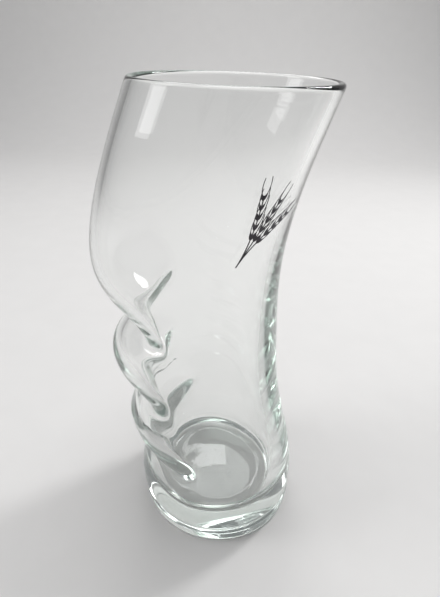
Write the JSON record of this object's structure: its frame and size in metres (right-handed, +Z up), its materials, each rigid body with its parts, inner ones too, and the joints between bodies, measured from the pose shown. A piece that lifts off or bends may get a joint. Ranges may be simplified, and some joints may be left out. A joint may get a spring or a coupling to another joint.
{
  "type": "beer glass with folded front",
  "caption": "Tall clear beer glass on a thick round foot, its belly leaning forward over deep folds, with a small dark print of barley ears near the rim",
  "frame": {"origin": "middle of the flat underside of the foot", "axes": "+Z runs up the glass to its rim, -X is the belly side with the folds, +X is the hollow back"},
  "size_m": [0.0907, 0.0766, 0.196],
  "materials": {
    "clear_glass": "clear, fire polished, faint green-grey in the thick foot",
    "dark_enamel": "fired-on dark enamel, satin gloss"
  },
  "bodies": {
    "root": {"glass_body": "clear_glass", "barley_ear_print": "dark_enamel"}
  },
  "joints": []
}
